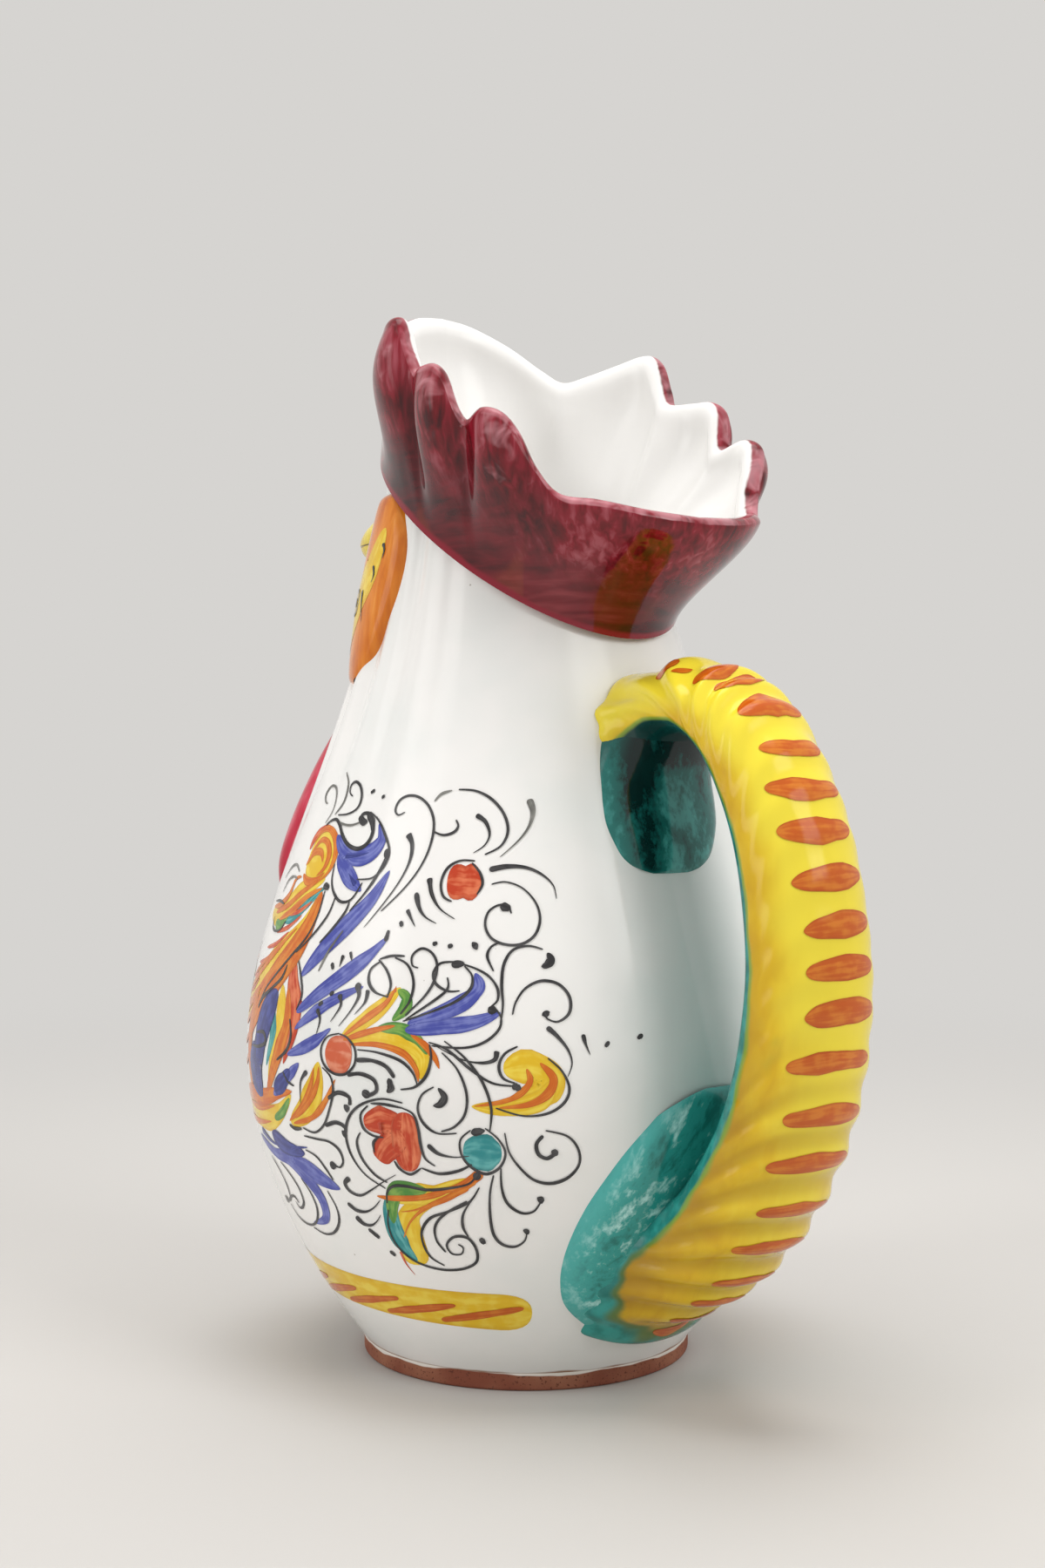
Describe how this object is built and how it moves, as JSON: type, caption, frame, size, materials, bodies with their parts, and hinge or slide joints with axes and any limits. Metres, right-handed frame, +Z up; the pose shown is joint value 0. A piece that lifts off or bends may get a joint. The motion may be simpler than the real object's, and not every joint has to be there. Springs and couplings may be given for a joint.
{
  "type": "pitcher",
  "caption": "Glazed earthenware pitcher shaped as a chicken: round belly, fluted neck, lobed comb as the mouth, beak, and an arched tail as the handle",
  "frame": {"origin": "centre of the foot ring's resting face", "axes": "+Z up, the beak points along -Y and the tail handle along +Y, +X is on the left of someone who faces the beak"},
  "size_m": [0.132, 0.1708, 0.249],
  "materials": {
    "bare_clay": "bare fired red clay, matt and slightly gritty",
    "white_glaze": "glossy opaque white tin glaze with hand-painted scrollwork",
    "maroon_glaze": "glossy maroon brushed over the glaze in visible strokes, white inside",
    "yellow_glaze": "glossy yellow with orange brush strokes",
    "orange_glaze": "glossy orange border round a yellow middle",
    "red_glaze": "glossy red",
    "teal_glaze": "glossy teal, brushed and pooled"
  },
  "bodies": {
    "root": {"foot_ring": "bare_clay", "belly": "white_glaze", "neck": "white_glaze", "comb": "maroon_glaze", "beak_upper": "yellow_glaze", "beak_lower": "yellow_glaze", "cheek_left": "orange_glaze", "cheek_right": "orange_glaze", "wattle_left": "red_glaze", "wattle_right": "red_glaze", "tail_handle": "yellow_glaze", "tail_root_upper": "teal_glaze", "tail_root_lower": "teal_glaze"}
  },
  "joints": []
}
